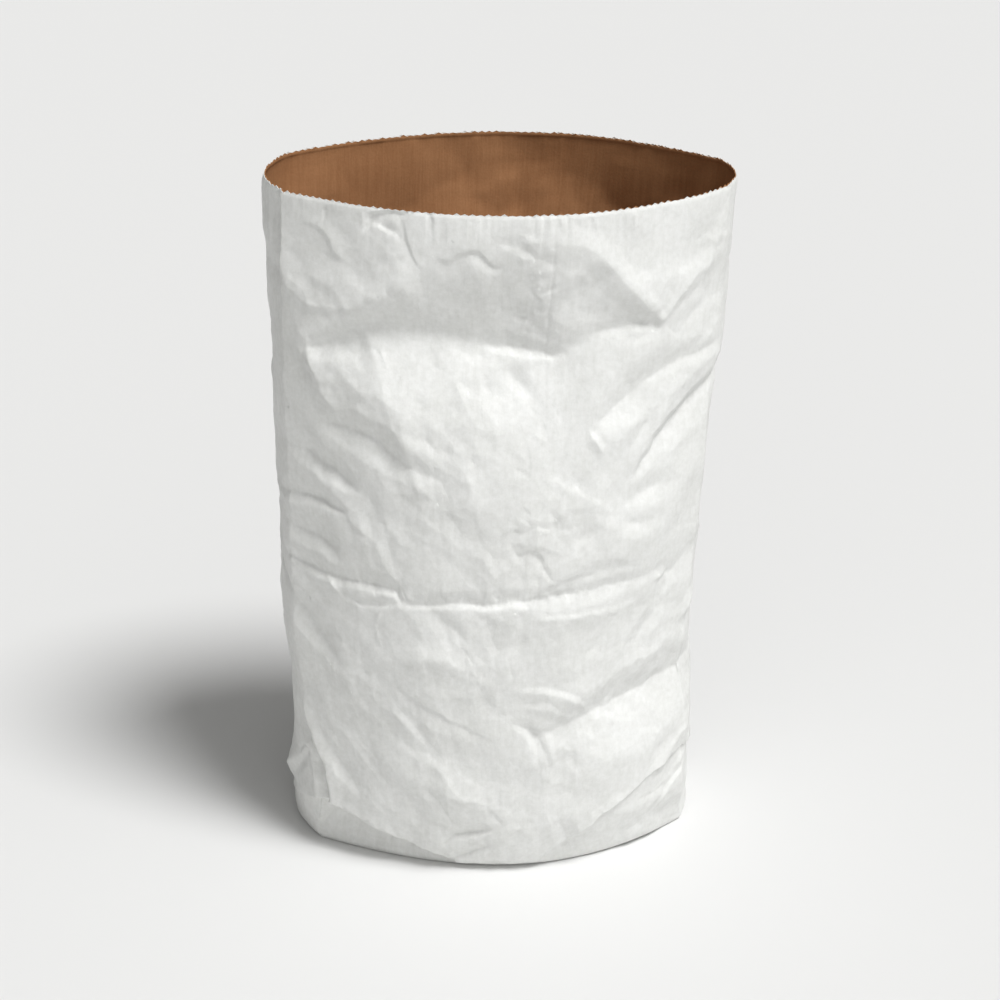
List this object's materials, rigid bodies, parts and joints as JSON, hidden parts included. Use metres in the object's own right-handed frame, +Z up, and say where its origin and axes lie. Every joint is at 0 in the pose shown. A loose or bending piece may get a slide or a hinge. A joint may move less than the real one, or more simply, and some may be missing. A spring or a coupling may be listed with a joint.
{
  "type": "paper potato bag",
  "caption": "Open two-ply paper sack for potatoes, bleached outside and brown inside, with side gussets, toothed mouth and folded bottom, standing in its filled shape.",
  "frame": {"origin": "centre of the bounding box at the base, on the surface the bag stands on", "axes": "+Z up through the open mouth, +X across the front panel to the viewer's right, -Y the way the front panel with the glued seam faces"},
  "size_m": [0.28, 0.2006, 0.424],
  "materials": {
    "bleached_paper": "smooth satin bleached kraft paper",
    "brown_paper": "matte brown kraft paper"
  },
  "bodies": {
    "root": {"outer_ply": "bleached_paper", "inner_ply": "brown_paper"}
  },
  "joints": []
}
